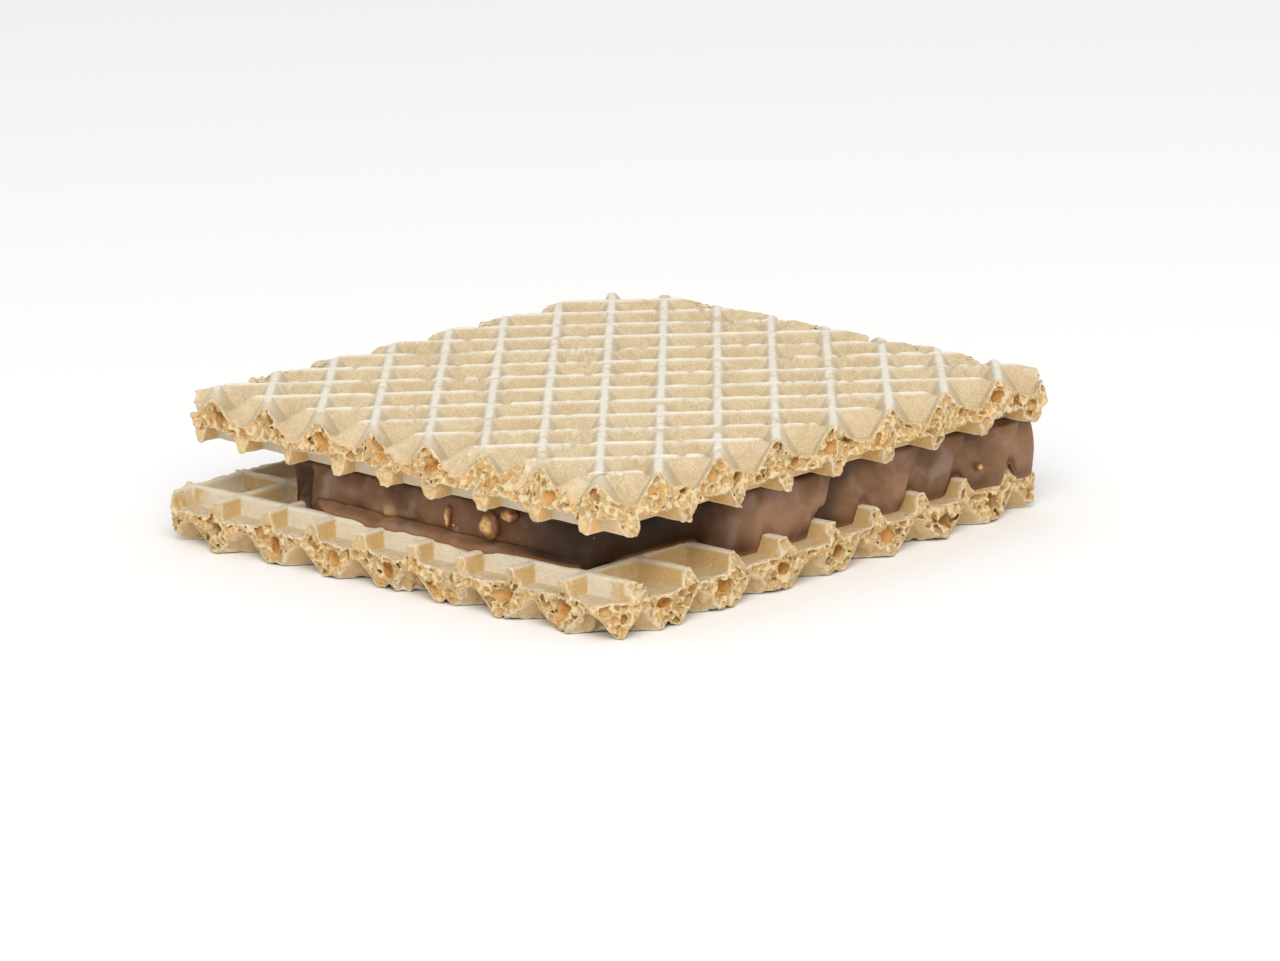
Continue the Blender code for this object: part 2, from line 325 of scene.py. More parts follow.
def surface_net(values: np.ndarray, low: np.ndarray, step: float) -> tuple[np.ndarray, np.ndarray]:
    """The skin of a field of solid values, as one vertex in each grid cell that it crosses.

    A vertex is the mean of the points where the cell's twelve edges change sign, each found
    by a straight line between the two values. Each grid edge that changes sign gets a quad
    between the four cells round it, which faces the empty side.

    Args:
        values: Field on a grid, above 0 in the solid and below 0 on the grid's border.
        low: Place of the grid's first point.
        step: Spacing of the grid.

    Returns:
        Vertices and quads.
    """
    solid = values > 0
    sizes = [n - 1 for n in values.shape]
    corners = [np.array(c) for c in np.ndindex(2, 2, 2)]
    filled = np.zeros(sizes, np.uint8)
    for c in corners:
        filled += solid[c[0]:c[0] + sizes[0], c[1]:c[1] + sizes[1], c[2]:c[2] + sizes[2]]
    crossed = (filled > 0) & (filled < 8)
    cells = np.argwhere(crossed)
    number = np.full(sizes, -1, np.int32)
    number[crossed] = np.arange(len(cells))
    total = np.zeros((len(cells), 3), np.float32)
    count = np.zeros(len(cells), np.float32)
    for c in corners:
        for axis in np.flatnonzero(c == 0):
            other = c.copy()
            other[axis] = 1
            a = values[tuple((cells + c).T)]
            b = values[tuple((cells + other).T)]
            changes = (a > 0) != (b > 0)
            share = np.where(changes, a / np.where(changes, a - b, 1.0), 0.0)
            place = np.tile(c.astype(np.float32), (len(cells), 1))
            place[:, axis] = share
            total += place * changes[:, None]
            count += changes
    verts = low + step * (cells + total / count[:, None])
    quads = []
    for axis in range(3):
        second, third = (axis + 1) % 3, (axis + 2) % 3
        here = np.take(solid, range(sizes[axis]), axis)
        beyond = np.take(solid, range(1, sizes[axis] + 1), axis)
        edges = np.argwhere(here != beyond)
        inner = (edges[:, second] > 0) & (edges[:, second] < sizes[second])
        inner &= (edges[:, third] > 0) & (edges[:, third] < sizes[third])
        edges = edges[inner]
        around = []
        for back_second, back_third in ((1, 1), (0, 1), (0, 0), (1, 0)):
            cell = edges.copy()
            cell[:, second] -= back_second
            cell[:, third] -= back_third
            around.append(number[tuple(cell.T)])
        quad = np.stack(around, 1)
        backwards = ~here[tuple(edges.T)]
        quad[backwards] = quad[backwards][:, ::-1]
        quads.append(quad)
    return verts, np.concatenate(quads)


def joined_to(core: np.ndarray, solid: np.ndarray) -> np.ndarray:
    """The part of a solid that hangs together with its core.

    The core grows into its six neighbours within the solid until nothing is added.

    Args:
        core: Grid points known to belong.
        solid: All solid grid points.

    Returns:
        The grid points that are joined to the core.
    """
    reached = core & solid
    while True:
        grown = reached.copy()
        for axis in range(3):
            ahead = [slice(None)] * 3
            behind = [slice(None)] * 3
            ahead[axis], behind[axis] = slice(1, None), slice(None, -1)
            grown[tuple(ahead)] |= reached[tuple(behind)]
            grown[tuple(behind)] |= reached[tuple(ahead)]
        grown &= solid
        if np.array_equal(grown, reached):
            return reached
        reached = grown


class Wire:
    """A socket's value in an expression. Each operator adds one Math node."""

    def __init__(self, graph: Graph, socket: bpy.types.NodeSocket) -> None:
        """Keep the graph and the socket that the value comes out of."""
        self.graph = graph
        self.socket = socket

    def calculate(self, operation: str, first: Wire | float, second: Wire | float) -> Wire:
        """Add a Math node.

        Args:
            operation: The node's operation.
            first: Its first value.
            second: Its second value.

        Returns:
            The result.
        """
        made = self.graph.node("ShaderNodeMath", {"operation": operation}, {0: first, 1: second})
        return Wire(self.graph, made.outputs[0])

    def __add__(self, other: Wire | float) -> Wire:
        """The sum."""
        return self.calculate("ADD", self, other)

    __radd__ = __add__

    def __sub__(self, other: Wire | float) -> Wire:
        """This value less another."""
        return self.calculate("SUBTRACT", self, other)

    def __rsub__(self, other: float) -> Wire:
        """A number less this value."""
        return self.calculate("SUBTRACT", other, self)

    def __mul__(self, other: Wire | float) -> Wire:
        """The product."""
        return self.calculate("MULTIPLY", self, other)

    __rmul__ = __mul__

    def step(self, low: float, high: float) -> Wire:
        """A smooth step of this value from 0 at low to 1 at high."""
        made = self.graph.node("ShaderNodeMapRange", {"interpolation_type": "SMOOTHSTEP"},
                               {0: self, 1: low, 2: high})
        return Wire(self.graph, made.outputs[0])


class Graph:
    """The nodes of one material."""

    def __init__(self, name: str) -> None:
        """Make a material with an empty graph and a Principled shader.

        Args:
            name: Name of the material.
        """
        self.material = bpy.data.materials.new(name)
        self.material.use_nodes = True
        self.tree = self.material.node_tree
        self.shader = self.tree.nodes["Principled BSDF"]
        self.place = self.node("ShaderNodeTexCoord").outputs["Object"]

    def node(self, kind: str, settings: dict | None = None, sockets: dict | None = None) -> bpy.types.Node:
        """Add any node.

        Args:
            kind: The node's type.
            settings: Its settings, which are made first.
            sockets: Values, sockets or wires for its inputs, by name or number.

        Returns:
            The node.
        """
        made = self.tree.nodes.new(kind)
        for name, value in (settings or {}).items():
            setattr(made, name, value)
        for key, value in (sockets or {}).items():
            self.feed(made.inputs[key], value)
        return made

    def feed(self, socket: bpy.types.NodeSocket, value: object) -> None:
        """Link a wire or socket to a socket, or set its value. A colour gets full cover."""
        source = value.socket if isinstance(value, Wire) else value
        if isinstance(source, bpy.types.NodeSocket):
            self.tree.links.new(source, socket)
        else:
            socket.default_value = (*source, 1.0) if socket.type == "RGBA" else source

    def noise(self, size: float, detail: float = 2.0, rough: float = 0.5, twist: float = 0.0) -> Wire:
        """Noise on the object's own place.

        Args:
            size: Size of its spots in millimetres.
            detail: Number of finer layers.
            rough: Strength of the finer layers.
            twist: Distortion.

        Returns:
            Values about 0.5.
        """
        made = self.node("ShaderNodeTexNoise", {}, {
            "Vector": self.place, "Scale": 1.0 / (size * METRES), "Detail": detail,
            "Roughness": rough, "Distortion": twist})
        return Wire(self, made.outputs[0])

    def cells(self, size: float) -> Wire:
        """Distance to the nearest of scattered dots, in shares of their spacing in millimetres."""
        made = self.node("ShaderNodeTexVoronoi", {},
                         {"Vector": self.place, "Scale": 1.0 / (size * METRES)})
        return Wire(self, made.outputs[0])

    def finish(self) -> tuple[Wire, Wire, Wire, Wire]:
        """The four values of the piece's attribute "finish"."""
        read = self.node("ShaderNodeAttribute", {"attribute_name": "finish"})
        split = self.node("ShaderNodeSeparateColor", {}, {0: read.outputs["Color"]})
        return tuple(Wire(self, out) for out in (*split.outputs[:3], read.outputs["Alpha"]))

    def coats(self, base: Wire | Colour, *layers: tuple[Wire, Wire | Colour]) -> Wire:
        """Lay colours on a base, one on the other.

        Args:
            base: The colour below.
            layers: For each colour, the share that it covers and the colour.

        Returns:
            The colour on top.
        """
        for share, colour in layers:
            made = self.node("ShaderNodeMix", {"data_type": "RGBA"}, {0: share, 6: base, 7: colour})
            base = Wire(self, made.outputs[2])
        return base

    def bump(self, height: Wire, depth: float) -> Wire:
        """A normal from a height.

        Args:
            height: Height from 0 to 1.
            depth: Millimetres that a height of 1 stands for.

        Returns:
            The normal.
        """
        made = self.node("ShaderNodeBump", {}, {"Distance": depth * METRES, "Height": height})
        return Wire(self, made.outputs[0])

    def dress(self, inputs: dict) -> bpy.types.Material:
        """Feed the shader's inputs, each by name, and return the material."""
        for name, value in inputs.items():
            self.feed(self.shader.inputs[name], value)
        return self.material


@dataclass(frozen=True)
class BakedCrust:
    """Dry baked wafer: cream on its ridges, tan in its pits, honey to amber in its bubbles (deeper ones
    partly real browning and partly painted glow), and painted glow on walls in shade.
    """

    cream: Colour = (0.775, 0.735, 0.635)
    tan: Colour = (0.61, 0.50, 0.325)
    toast: Colour = (0.45, 0.315, 0.165)
    # Painted glow: warm light that passes through the thin crust and bounces between walls in shade
    painted_glow: Colour = (0.53, 0.335, 0.118)
    pit: Colour = (0.56, 0.395, 0.190)
    torn: Colour = (0.52, 0.365, 0.170)
    rim: Colour = (0.72, 0.580, 0.355)
    honey: Colour = (0.59, 0.345, 0.116)
    amber: Colour = (0.62, 0.325, 0.088)
    fleck: Colour = (0.30, 0.22, 0.15)
    relief: float = 0.13
    shine: float = 0.30
    scatter: float = 0.18
    scatter_reach: float = 0.7
    scatter_tint: Colour = (1.0, 0.55, 0.20)

    def material(self, name: str) -> bpy.types.Material:
        """The crust's material.

        Args:
            name: Name of the material.

        Returns:
            A material that reads the attribute "finish": ridge, broken edge, depth of a hole
            and painted glow, the warm light that passes through and bounces inside the crust. On the crust
            the third is the depth in a pit.
        """
        g = Graph(name)
        crest, torn, deep, painted_glow = g.finish()
        cloud = g.noise(3.2, 3.0, 0.6)
        mottle = g.noise(0.8, 3.0, 0.7)
        grit = g.noise(0.45, 3.0, 0.65)
        speckle = g.noise(0.14, 2.0, 0.7)
        pores = g.cells(0.46)
        blots = g.noise(1.25, 2.0, 0.6)
        dots = g.cells(0.62).step(0.14, 0.07) * g.noise(1.7).step(0.42, 0.60)
        crumb = g.coats(
            self.torn,
            (blots.step(0.40, 0.62) * 0.75, self.honey),
            (pores.step(0.40, 0.16) * 0.45, self.honey),
            (pores.step(0.48, 0.70) * (1.0 - deep) * 0.75, self.rim),
            # Deeper in the foam: honey, then amber, partly real browning and partly painted glow of light
            # scattered through the thin walls
            (deep.step(0.05, 0.50) * 0.70, self.honey),
            (deep.step(0.50, 1.00) * (0.70 + 0.30 * grit), self.amber))
        skin = g.coats(
            self.tan,
            (cloud.step(0.40, 0.66) * 0.28, self.toast),
            (deep * (0.15 + 0.25 * mottle), self.pit),
            (mottle.step(0.42, 0.66) * 0.22, self.toast),
            # Painted glow on walls in shade
            (painted_glow * (0.80 + 0.20 * mottle), self.painted_glow),
            (speckle.step(0.48, 0.66) * (0.62 - 0.42 * crest), self.toast),
            # Cream on ridge tops and broken edges, and also painted light on the v-ridges' flanks and on
            # inner walls that face the light
            (crest * (0.80 + 0.20 * grit), self.cream),
            (speckle.step(0.42, 0.30) * 0.38, self.cream),
            (dots * 0.50, self.fleck),
            (torn, crumb))
        height = grit * 0.5 + speckle * 0.3 + pores.step(0.15, 0.6) * torn * 0.7
        return g.dress({
            "Base Color": skin, "Roughness": 0.60 + 0.25 * grit, "Normal": g.bump(height, self.relief),
            "Specular IOR Level": self.shine, "Subsurface Weight": self.scatter,
            "Subsurface Scale": self.scatter_reach * METRES, "Subsurface Radius": self.scatter_tint})


@dataclass(frozen=True)
class SatinChocolate:
    """Milky brown chocolate with a satin surface, slightly cloudy and finely pitted, with painted grey
    sheen, painted sheen on its bulges and painted shade in its hollows.
    """

    dark: Colour = (0.100, 0.043, 0.017)
    # Milky tone in clouds, and painted sheen on the bulges
    milk_and_sheen: Colour = (0.285, 0.156, 0.086)
    # Painted shade: nearly black, for hollows, the front corner under the upper wafer and the low right
    # foot
    deep: Colour = (0.020, 0.008, 0.003)
    rust: Colour = (0.34, 0.140, 0.042)
    nutty: Colour = (0.46, 0.30, 0.125)
    # Painted grey sheen, in soft patches
    painted_grey_sheen: Colour = (0.32, 0.24, 0.195)
    speck: Colour = (0.42, 0.25, 0.12)
    relief: float = 0.05
    shine: float = 0.18

    def material(self, name: str) -> bpy.types.Material:
        """The chocolate's material.

        Args:
            name: Name of the material.

        Returns:
            A material whose cloudiness and painted grey sheen follow soft noise, and whose
            attribute "finish" gives reddish thin edges, painted shade in hollows, painted sheen on
            bulges and a nut that shows through.
        """
        g = Graph(name)
        edge, hollow, bulge, spot = g.finish()
        cloud = g.noise(4.0, 3.0, 0.55, 0.6)
        fine = g.noise(0.35, 3.0, 0.6)
        sheen_patches = g.noise(2.6, 2.0, 0.5, 0.4)
        specks = g.cells(1.3).step(0.10, 0.05) * g.noise(2.6).step(0.50, 0.62)
        base = g.coats(
            self.dark,
            # Milky clouds, and painted sheen on the bulges
            (cloud.step(0.34, 0.68) * 0.45 + bulge * 0.75, self.milk_and_sheen),
            # Painted grey sheen in soft patches
            (sheen_patches.step(0.50, 0.74) * 0.45, self.painted_grey_sheen),
            # Painted shade in the hollows
            (hollow * 0.92, self.deep),
            (edge * 0.75, self.rust),
            (spot * 0.60, self.nutty),
            (specks * 0.5, self.speck))
        rough = 0.34 + 0.20 * g.noise(1.4, 3.0)
        return g.dress({"Base Color": base, "Roughness": rough, "Normal": g.bump(fine, self.relief),
                        "Specular IOR Level": self.shine})


@dataclass(frozen=True)
class RoastedNut:
    """Chopped roasted nut: pale golden where it is broken, dark brown round its rim."""

    pale: Colour = (0.66, 0.385, 0.13)
    roast: Colour = (0.17, 0.062, 0.018)
    relief: float = 0.18
    shine: float = 0.5

    def material(self, name: str) -> bpy.types.Material:
        """The nut's material.

        Args:
            name: Name of the material.

        Returns:
            A material that is roasted in patches and round the rim, which "finish" gives.
        """
        g = Graph(name)
        rim = g.finish()[0]
        patch = g.noise(0.55, 3.0, 0.65)
        base = g.coats(self.pale, (patch.step(0.42, 0.62) * 0.7, self.roast),
                       (rim * (0.8 + 0.4 * patch), self.roast))
        return g.dress({"Base Color": base, "Roughness": 0.28 + 0.3 * patch,
                        "Normal": g.bump(patch, self.relief), "Specular IOR Level": self.shine})


def settle(piece: bpy.types.Object, material: bpy.types.Material, node: str = "") -> None:
    """Give a piece its material and body, and where it stands for a solid hide that solid's part.

    Args:
        piece: The piece.
        material: Its material.
        node: The solid that it replaces, or nothing.
    """
    piece.data.materials.append(material)
    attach(piece, "root")
    if node:
        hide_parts(node)
    LOG.info("%s: %d faces", piece.name, len(piece.data.polygons))


class Side(Enum):
    """The four sides of a wafer, each by the way that it faces."""

    FRONT_LEFT = (0, -1)
    FRONT_RIGHT = (1, 0)
    BACK_RIGHT = (0, 1)
    BACK_LEFT = (-1, 0)

    @property
    def in_view(self) -> bool:
        """Whether the photo shows this side."""
        return self in (Side.FRONT_LEFT, Side.FRONT_RIGHT)


class Face(Enum):
    """The two faces of a wafer."""

    OUTER = "outer"
    INNER = "inner"


@dataclass(frozen=True)
class Lattice:
    """Square pits between ridges, as a waffle iron presses them."""

    pitch: float
    ridge: float
    floor: float
    depth: float
    turn: float
    phase: tuple[float, float]
    rounding: float = 0.12
    # How many more grid lines there are, and over what width, at a ridge's shoulder and its foot
    shoulder: tuple[float, float] = (2.2, 0.16)
    foot: tuple[float, float] = (1.2, 0.2)

    def across(self, x: np.ndarray, y: np.ndarray) -> tuple[np.ndarray, np.ndarray]:
        """Signed distances from the nearest ridge lines of both directions.

        Args:
            x: Places along the wafer's side.
            y: Places along its other side.

        Returns:
            The two distances, from minus half a pitch to half a pitch.
        """
        cos, sin = math.cos(self.turn), math.sin(self.turn)
        dx, dy = x - self.phase[0], y - self.phase[1]
        a, b = dx * cos + dy * sin, dy * cos - dx * sin
        return tuple(((c / self.pitch + 0.5) % 1.0 - 0.5) * self.pitch for c in (a, b))

    def sunk(self, across: np.ndarray) -> np.ndarray:
        """How far the pressed wall has fallen at a distance from a ridge, 0 on top to 1 below.

        The fall is a straight slope between two flats, with round corners.

        Args:
            across: Distances from the ridge line, without sign.

        Returns:
            Shares of the depth.
        """
        slope = (self.pitch - self.ridge - self.floor) / 2.0
        share = (across - self.ridge / 2.0) / slope
        return -soft_min(-soft_min(share, np.ones_like(share), self.rounding),
                         np.zeros_like(share), self.rounding)

    def lines(self, reach: float, count: int) -> np.ndarray:
        """Grid lines over a reach to both sides, closer at the ridges' shoulders and feet.

        They are spread evenly by the sum of a constant and a bell at each shoulder and foot.

        Args:
            reach: Distance to cover from the middle.
            count: Lines in each pitch.

        Returns:
            Their places.
        """
        fine = np.linspace(0.0, self.pitch, 400)
        near = np.minimum(fine, self.pitch - fine)
        weight = np.ones_like(fine)
        for (more, wide), place in ((self.shoulder, self.ridge), (self.foot, self.pitch - self.floor)):
            weight += more * np.exp(-((near - place / 2.0) / wide) ** 2)
        summed = np.concatenate([[0.0], np.cumsum((weight[1:] + weight[:-1]) / 2.0)])
        one = np.interp(np.arange(count) / count * summed[-1], summed, fine)
        most = math.ceil(reach / self.pitch)
        turns = np.arange(-most, most + 1)
        return (turns[:, None] * self.pitch + one[None, :]).ravel()


@dataclass
class Wafer(Assembly):
    """One wafer. Its own third coordinate runs from its inner face to its outer face."""

    name: str
    node: str
    middle: tuple[float, float]
    turn: float
    inner_z: float
    up: float
    outer: Lattice
    inner: Lattice
    corners: tuple[float, float, float, float]
    seed: int
    broken_back: tuple[tuple[float, float], ...] = ((-27.0, 0.2), (27.0, 0.2))
    broken_side: float = 0.3
    thin_ridge: float = 0.06
    wear: float = 0.06
    tear: float = 0.55
    rim_depth: float = 2.8
    sheet_inset: float = 2.4
    rim_sink: float = 0.03
    overlap: float = 0.3
    side_wear: float = 0.62
    # Strength of painted bounce light from the floor, as glow on the outer face's low parts
    painted_bounce_glow: float = 0.0
    inner_lean: tuple[float, float] = (0.15, 0.2)
    open_from: float = 99.0
    tooth_top: float = 1.2
    hollow_depth: float = 1.5
    hole_depth: float = 0.50
    pore_depth: float = 0.24
    skin: float = 0.14
    fine_step: float = 0.12
    coarse_step: float = 0.17
    # Cell, wall and unevenness of the large and the small bubbles
    large: tuple[float, float, float] = (1.05, 0.38, 0.5)
    small: tuple[float, float, float] = (0.50, 0.18, 0.4)
    hollow_share: float = 0.8
    spare: float = 1.1
    margin: float = 0.3
    outer_lines: int = 24
    inner_lines: int = 22
    lean_start: float = 1.3
    corner_blend: float = 1.5
    # Shares of the thickness at which the backs of the two sheets lie
    outer_back: float = 0.40
    inner_back: float = 0.46
    pieces: list[bpy.types.Object] = field(default_factory=list)

    def outer_height(self, x: np.ndarray, y: np.ndarray) -> np.ndarray:
        """Height of the outer face above the inner plane.

        It is the thickness less the lattice's depth, where the two directions' slopes meet in
        a soft minimum. The cross ridges are thinner, and their front shoulders are eaten back
        by noise, as the crust tears there. Near the sides the ridges are worn down, the cross
        ridges most of all. Soft noise wears all of it.

        Args:
            x: Places along the wafer's side.
            y: Places along its other side.

        Returns:
            The heights.
        """
        a, b = self.outer.across(x, y)
        torn = ease(-0.08, 0.50, self.grain(1, 2.6, x, y)) * self.tear
        torn = torn * (0.55 + 0.75 * self.grain(2, 0.45, x, y))
        wavy = 0.07 * self.grain(3, 0.9, x, y)
        b_way = np.abs(b) + self.thin_ridge + wavy + np.where(b < 0, torn, 0.3 * torn)
        a_way = np.abs(a) + 0.05 * self.grain(4, 1.1, x, y)
        half = SIDE / 2.0
        back = ease(2.2, 0.3, np.minimum(half + x, half - y))
        front = ease(2.9, 0.8, np.minimum(half - x, half + y))
        left = ease(2.4, 0.3, half + y - np.interp(x, *zip(*self.broken_back)))
        keep_a = 1.0 - np.maximum(0.25 * self.side_wear * left, 0.35 * back)
        keep_b = 1.0 - np.maximum(self.side_wear * front, 0.30 * back)
        sunk_a = 1.0 - (1.0 - self.outer.sunk(a_way)) * keep_a
        sunk_b = 1.0 - (1.0 - self.outer.sunk(b_way)) * keep_b
        sunk = np.clip(soft_min(sunk_a, sunk_b, 0.08), 0.0, 1.0) * (1.0 - 0.25 * back)
        worn = self.wear * (0.5 + 0.5 * self.grain(5, 3.4, x, y))
        worn += 0.03 * (1.0 + self.grain(6, 0.5, x, y)) * (1.0 + 2.5 * torn)
        worn += 0.16 * ease(0.35, 0.8, self.grain(17, 0.9, x, y)) * ease(0.3, 0.0, sunk)
        return THICKNESS - self.outer.depth * sunk - worn

    def inner_height(self, x: np.ndarray, y: np.ndarray) -> np.ndarray:
        """Height of the inner face above the inner plane: the straight lattice's depth.

        Near the sides the crests are ragged, as they broke there. Beyond open_from the ridge
        along the front right side has broken off, so that the last cells are open.

        Args:
            x: Places along the wafer's side.
            y: Places along its other side.

        Returns:
            The heights.
        """
        a, b = self.inner.across(x, y)
        wavy = 0.05 * self.grain(7, 1.6, x, y)
        sunk_a = np.where(x > self.open_from, 1.0, self.inner.sunk(np.abs(a) + wavy))
        sunk = soft_min(sunk_a, self.inner.sunk(np.abs(b) + wavy), 0.10)
        worn = 0.03 * (1.0 + self.grain(8, 0.8, x, y))
        edge = SIDE / 2.0 - np.maximum(np.abs(x), np.abs(y))
        ragged = 0.22 * ease(1.6, 0.2, edge) * np.maximum(self.grain(18, 0.45, x, y), -0.2)
        return self.inner.depth * np.maximum(sunk, 0.0) + worn + ragged

    def inset(self, x: np.ndarray, y: np.ndarray, lean: np.ndarray | float = 0.0) -> np.ndarray:
        """Distance inside the square with its corners cut off.

        Args:
            x: Places along the wafer's side.
            y: Places along its other side.
            lean: Share of the way to the broken back top edge.

        Returns:
            The least distance to the eight edges.
        """
        half = SIDE / 2.0
        left, front, right, back = self.corners
        places, depths = zip(*self.broken_back)
        far = np.minimum(half + y - lean * np.interp(x, places, depths), half - x - lean * self.broken_side)
        far = np.minimum(far, np.minimum(half + x, half - y) - lean * self.broken_side)
        for cut, way_x, way_y in ((left, -1, -1), (front, 1, -1), (right, 1, 1), (back, -1, 1)):
            far = np.minimum(far, (2 * half - cut - way_x * x - way_y * y) / math.sqrt(2.0))
        return far

    def rim_inset(self, x: np.ndarray, y: np.ndarray, t: np.ndarray) -> np.ndarray:
        """Distance inside the broken rim: the leaning inset less noise of four sizes.

        Near the inner face the rim is set back, by its own amount on each of the shown sides.

        Args:
            x: Places along the wafer's side.
            y: Places along its other side.
            t: Heights above the inner plane.

        Returns:
            The distances.
        """
        lean = np.clip((t - self.lean_start) / (THICKNESS - self.lean_start), 0.0, 1.0)
        far = self.inset(x, y, lean) + 0.25 * self.grain(9, 5.5, x, y) - 0.12
        left_lean, right_lean = self.inner_lean
        set_back = left_lean + (right_lean - left_lean) * self.mostly(x - np.abs(y))
        far = far - set_back * ease(1.5, 0.1, t) * (1.0 + 0.6 * self.grain(22, 2.3, x, y))
        far = far - 0.46 * self.grain(10, 1.7, x, y, t * 0.8)
        far = far - 0.28 * self.grain(11, 0.62, x, y, t)
        return far - 0.11 * self.grain(16, 0.33, x, y, t)

    def mostly(self, lead: np.ndarray) -> np.ndarray:
        """Share of one way where it leads another one, blended about their meeting line."""
        return ease(-self.corner_blend, self.corner_blend, lead)

    def slope_share(self, height: np.ndarray, step: float) -> np.ndarray:
        """Share of a vertical gap that is its true distance to a sloping face.

        Args:
            height: Heights of the face on a grid.
            step: Spacing of the grid.

        Returns:
            One over the root of one plus the squared slopes.
        """
        along, across = np.gradient(height, step)
        return 1.0 / np.sqrt(1.0 + along ** 2 + across ** 2)

    def hollows(self, side: Side) -> np.ndarray:
        """Large bubbles under the ends of the ridges that reach a side.

        Args:
            side: The side.

        Returns:
            Rows of a centre's three coordinates and the three radii of the bubble.
        """
        rng = np.random.default_rng(self.seed + 40 + list(Side).index(side))
        out = np.array(side.value, float)
        along = np.array([-out[1], out[0]])
        half, root = SIDE / 2.0, math.sqrt(2.0)
        phase = np.array(self.outer.phase)
        rows = []
        for ridge_way in ((1.0, 1.0), (-1.0, 1.0)):
            normal = np.array(ridge_way) / root
            turns = np.arange(-12, 13)
            places = (turns * self.outer.pitch + normal @ phase - half * (normal @ out)) / (normal @ along)
            places = places[np.abs(places) < half - 1.0]
            rows.append(places)
        places = np.concatenate(rows)
        keep = rng.random(len(places)) < self.hollow_share
        places = places[keep]
        count = len(places)
        depth = half - rng.uniform(0.2, 0.9, count)
        centre = along[None, :] * (places + rng.uniform(-0.35, 0.35, count))[:, None]
        centre = centre + out[None, :] * depth[:, None]
        height = rng.uniform(2.3, 3.3, count)
        wide, high = rng.uniform(0.5, 0.95, count), rng.uniform(0.45, 0.8, count)
        radii = np.abs(along)[None, :] * wide[:, None] + np.abs(out)[None, :]
        return np.concatenate([centre, height[:, None], radii, high[:, None]], 1)

    def solid(self, x: np.ndarray, y: np.ndarray, t: np.ndarray, step: float, side: Side) -> np.ndarray:
        """Field of the rim, above 0 where there is crust.

        It is the least of the distances below the outer face, above the inner face and inside
        the broken rim, and minus the depth inside a bubble. A bubble stays a skin's thickness
        away from both faces and near the rim.

        Args:
            x: Grid places along the first side, as a column of blocks.
            y: Grid places along the second side.
            t: Grid heights above the inner plane.
            step: Spacing of the grid.
            side: The side that the piece belongs to.

        Returns:
            The field on the whole grid.
        """
        flat_x, flat_y = np.broadcast_arrays(x[:, :, 0], y[:, :, 0])
        outer, inner = self.outer_height(flat_x, flat_y), self.inner_height(flat_x, flat_y)
        plain = self.inset(flat_x, flat_y)
        under_sheet = self.rim_sink * ease(0.05, 0.32, plain - self.sheet_inset)
        outer_share, inner_share = self.slope_share(outer, step), self.slope_share(inner, step)
        below = ((outer - under_sheet)[:, :, None] - t) * outer_share[:, :, None]
        above = (t - (inner + under_sheet)[:, :, None]) * inner_share[:, :, None]
        rim = self.rim_inset(x, y, t)
        warp = 0.25 * self.grain(15, 0.9, x, y, t)
        rough = 0.07 * self.grain(14, 0.4, x, y, t) + 0.10 * self.grain(19, 0.8, x, y, t)
        holes = Bubbles(self.seed + 12, *self.large).inside(x + warp, y - warp, t + warp) + rough
        holes = np.minimum(holes, self.hole_depth - rim + rough)
        pores = Bubbles(self.seed + 13, *self.small).inside(x - warp, y, t + warp) + 0.5 * rough
        holes = np.maximum(holes, np.minimum(pores, self.pore_depth - rim))
        hollow = np.full_like(holes, -1.0)
        for cx, cy, ct, rx, ry, rt in self.hollows(side):
            away = np.sqrt(((x - cx) / rx) ** 2 + ((y - cy) / ry) ** 2 + ((t - ct) / rt) ** 2)
            hollow = np.maximum(hollow, (1.0 - away) * min(rx, ry, rt) + rough)
        holes = np.maximum(holes, np.minimum(hollow, self.hollow_depth - rim))
        skin = self.skin + 1.2 * np.abs(rough)
        holes = np.minimum(holes, np.minimum(below, above) - skin)
        holes = np.where(np.abs(y) > np.abs(x), np.minimum(holes, t - self.tooth_top), holes)
        solid = np.minimum(np.minimum(below, above), rim)
        solid = np.minimum(solid, self.rim_depth - plain[:, :, None])
        return np.minimum(solid, -holes)

    def finish_at(self, place: np.ndarray) -> np.ndarray:
        """The finish of points on the wafer.

        Args:
            place: Rows of places in the wafer's own frame.

        Returns:
            Four values from 0 to 1 for each point: ridge, broken edge, depth of a hole, and painted
            glow. The painted glow is the warm light that passes through and bounces inside the crust. It
            lies on inner walls that stand across the side nearest to them, on all inner walls near the
            front right side, on the low parts of the outer face where painted_bounce_glow asks for it, and
            on the torn foam of the teeth.
            The ridge value also holds painted light on the flanks beside the v-ridges and on inner walls
            that face the light.
        """
        x, y, t = place.T
        outer, inner = self.outer_height(x, y), self.inner_height(x, y)
        nudge = 0.05
        out_x = (self.outer_height(x + nudge, y) - outer) / nudge
        out_y = (self.outer_height(x, y + nudge) - outer) / nudge
        in_x = (self.inner_height(x + nudge, y) - inner) / nudge
        in_y = (self.inner_height(x, y + nudge) - inner) / nudge
        below = np.abs(outer - t) / np.sqrt(1.0 + out_x ** 2 + out_y ** 2)
        above = np.abs(t - inner) / np.sqrt(1.0 + in_x ** 2 + in_y ** 2)
        rim = self.rim_inset(x, y, t)
        skin = 1.0 - ease(0.05, 0.13, np.minimum(below, above))
        level = ease(0.32, 0.04, THICKNESS - outer) * ease(0.3, 0.1, below)
        level = np.maximum(level, 0.6 * ease(0.30, 0.05, inner) * ease(0.3, 0.1, above))
